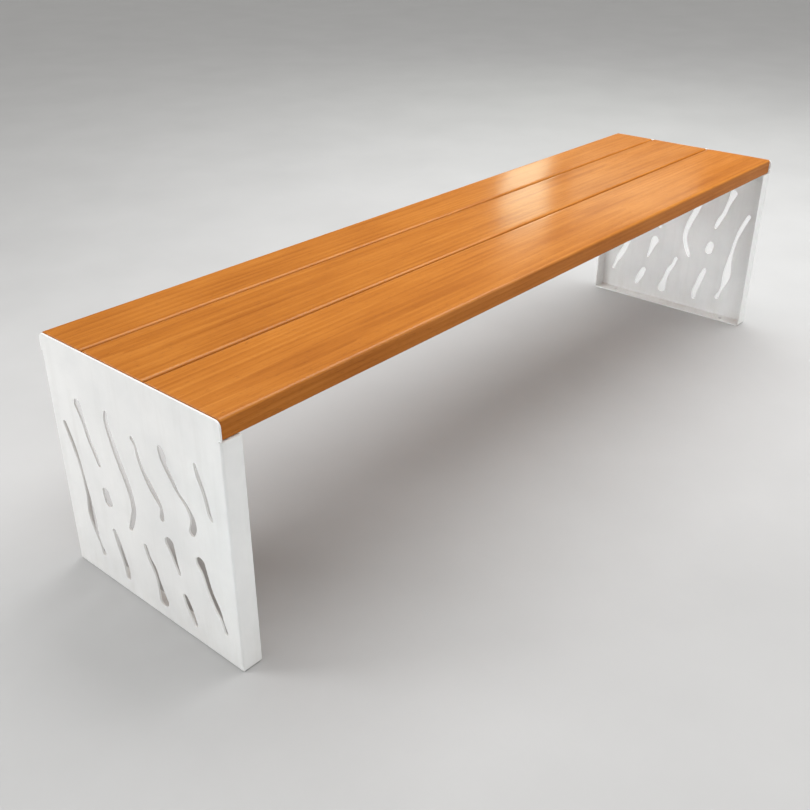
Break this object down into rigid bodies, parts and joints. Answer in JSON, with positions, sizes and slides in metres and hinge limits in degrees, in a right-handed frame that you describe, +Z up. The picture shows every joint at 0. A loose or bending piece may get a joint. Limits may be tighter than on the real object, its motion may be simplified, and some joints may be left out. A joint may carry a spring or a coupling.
{
  "type": "backless bench",
  "caption": "Backless outdoor bench: timber planks on folded sheet-steel end panels with wavy cut-out slots and holes for ground anchors.",
  "frame": {"origin": "on the ground, under the middle of the bench", "axes": "+X along the seat, -Y towards the front, +Z up"},
  "size_m": [1.8, 0.45, 0.45],
  "materials": {
    "white_powder_coat": "satin white powder coat",
    "varnished_timber": "satin orange-brown varnish",
    "stainless_steel": "plain stainless steel"
  },
  "bodies": {
    "root": {"end_panel_left": "white_powder_coat", "end_panel_right": "white_powder_coat", "seat_rest_left": "white_powder_coat", "seat_rest_right": "white_powder_coat", "welds_left": "white_powder_coat", "welds_right": "white_powder_coat", "plank_front": "varnished_timber", "plank_middle": "varnished_timber", "plank_rear": "varnished_timber", "cross_tie_left": "white_powder_coat", "cross_tie_centre": "white_powder_coat", "cross_tie_right": "white_powder_coat", "rest_screws_left": "stainless_steel", "rest_screws_right": "stainless_steel", "rest_washers_left": "stainless_steel", "rest_washers_right": "stainless_steel", "tie_screws_left": "stainless_steel", "tie_screws_centre": "stainless_steel", "tie_screws_right": "stainless_steel", "tie_washers_left": "stainless_steel", "tie_washers_centre": "stainless_steel", "tie_washers_right": "stainless_steel"}
  },
  "joints": []
}
